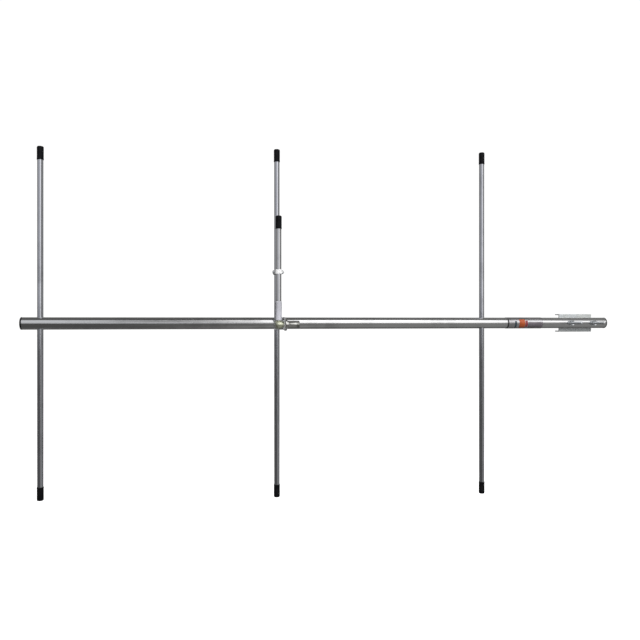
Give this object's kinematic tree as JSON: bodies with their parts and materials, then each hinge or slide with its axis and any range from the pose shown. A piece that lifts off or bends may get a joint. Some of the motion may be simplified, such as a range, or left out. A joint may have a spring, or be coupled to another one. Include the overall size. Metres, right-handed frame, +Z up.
{
  "type": "yagi antenna",
  "caption": "Gamma-fed yagi antenna: a tubular boom with cross elements, a coaxial feed point and a U-bolt clamp for a vertical mast.",
  "frame": {"origin": "on the mast's axis, at the height of the boom's centre line, where the clamp holds the mast", "axes": "+Z up along the mast and the elements, +X along the boom towards the mast end, -Y towards the side of the boom away from the mast"},
  "size_m": [1.5772, 0.1557, 0.947],
  "materials": {
    "aluminium": "drawn tube, lightly brushed",
    "strap_metal": "bright, satin",
    "zinc_plate": "bright zinc plate",
    "brass": "dull, slightly tarnished",
    "nickel": "nickel plate",
    "black_vinyl": "dipped vinyl, semi-matte",
    "rubber": "matte",
    "grey_plastic": "satin moulded plastic",
    "white_plastic": "smooth insulator plastic",
    "label_film": "printed film"
  },
  "bodies": {
    "antenna": {"boom_tube": "aluminium", "boom_front_cap": "black_vinyl", "boom_rear_cap": "black_vinyl", "boom_label": "label_film", "director_tube": "aluminium", "director_cap_top": "black_vinyl", "director_cap_bottom": "black_vinyl", "director_lock_screw": "zinc_plate", "driven_tube": "aluminium", "driven_cap_top": "black_vinyl", "driven_cap_bottom": "black_vinyl", "driven_lock_screw": "zinc_plate", "reflector_tube": "aluminium", "reflector_cap_top": "black_vinyl", "reflector_cap_bottom": "black_vinyl", "reflector_lock_screw": "zinc_plate", "gamma_rod": "aluminium", "gamma_insulator": "white_plastic", "gamma_sleeve": "grey_plastic", "feed_body": "brass", "feed_bracket": "aluminium", "feed_screw_1": "zinc_plate", "feed_screw_2": "zinc_plate", "connector_gasket": "rubber", "connector_shell": "nickel", "connector_insulator": "white_plastic", "connector_contact": "brass", "flange_screw_1": "zinc_plate", "flange_screw_2": "zinc_plate", "flange_screw_3": "zinc_plate", "flange_screw_4": "zinc_plate", "flange_nut_1": "zinc_plate", "flange_nut_2": "zinc_plate", "flange_nut_3": "zinc_plate", "flange_nut_4": "zinc_plate", "mast_saddle": "zinc_plate", "clamp_washer_front": "zinc_plate", "clamp_washer_rear": "zinc_plate", "clamp_spring_washer_front": "zinc_plate", "clamp_spring_washer_rear": "zinc_plate"},
    "gamma_slider": {"gamma_tube": "aluminium", "gamma_end_cap": "black_vinyl"},
    "strap": {"strap_left": "strap_metal", "strap_right": "strap_metal", "strap_screw": "zinc_plate", "strap_nut": "zinc_plate"},
    "bolt": {"u_bolt": "zinc_plate"},
    "nut_front": {"clamp_nut_front": "zinc_plate"},
    "nut_rear": {"clamp_nut_rear": "zinc_plate"}
  },
  "joints": [
    {"name": "gamma_tube_slide", "type": "slide", "parent": "antenna", "child": "gamma_slider", "axis": [0, 0, 1], "range_m": [-0.006, 0.02]},
    {"name": "strap_slide", "type": "slide", "parent": "antenna", "child": "strap", "axis": [0, 0, 1], "range_m": [-0.065, 0.09]},
    {"name": "u_bolt_slide", "type": "slide", "parent": "antenna", "child": "bolt", "axis": [0, -1, 0], "range_m": [-0.02, 0.01375]},
    {"name": "nut_front_turn", "type": "hinge", "parent": "antenna", "child": "nut_front", "pos_m": [-0.0355, -0.07575, 0], "axis": [0, 1, 0], "range_deg": [-5764, 3964]},
    {"name": "nut_rear_turn", "type": "hinge", "parent": "antenna", "child": "nut_rear", "pos_m": [0.0355, -0.07575, 0], "axis": [0, 1, 0], "range_deg": [-5764, 3964]}
  ],
  "couplings": [
    {"joint": "nut_front_turn", "follows": "u_bolt_slide", "rad_per_m": 5026.5},
    {"joint": "nut_rear_turn", "follows": "u_bolt_slide", "rad_per_m": 5026.5}
  ]
}
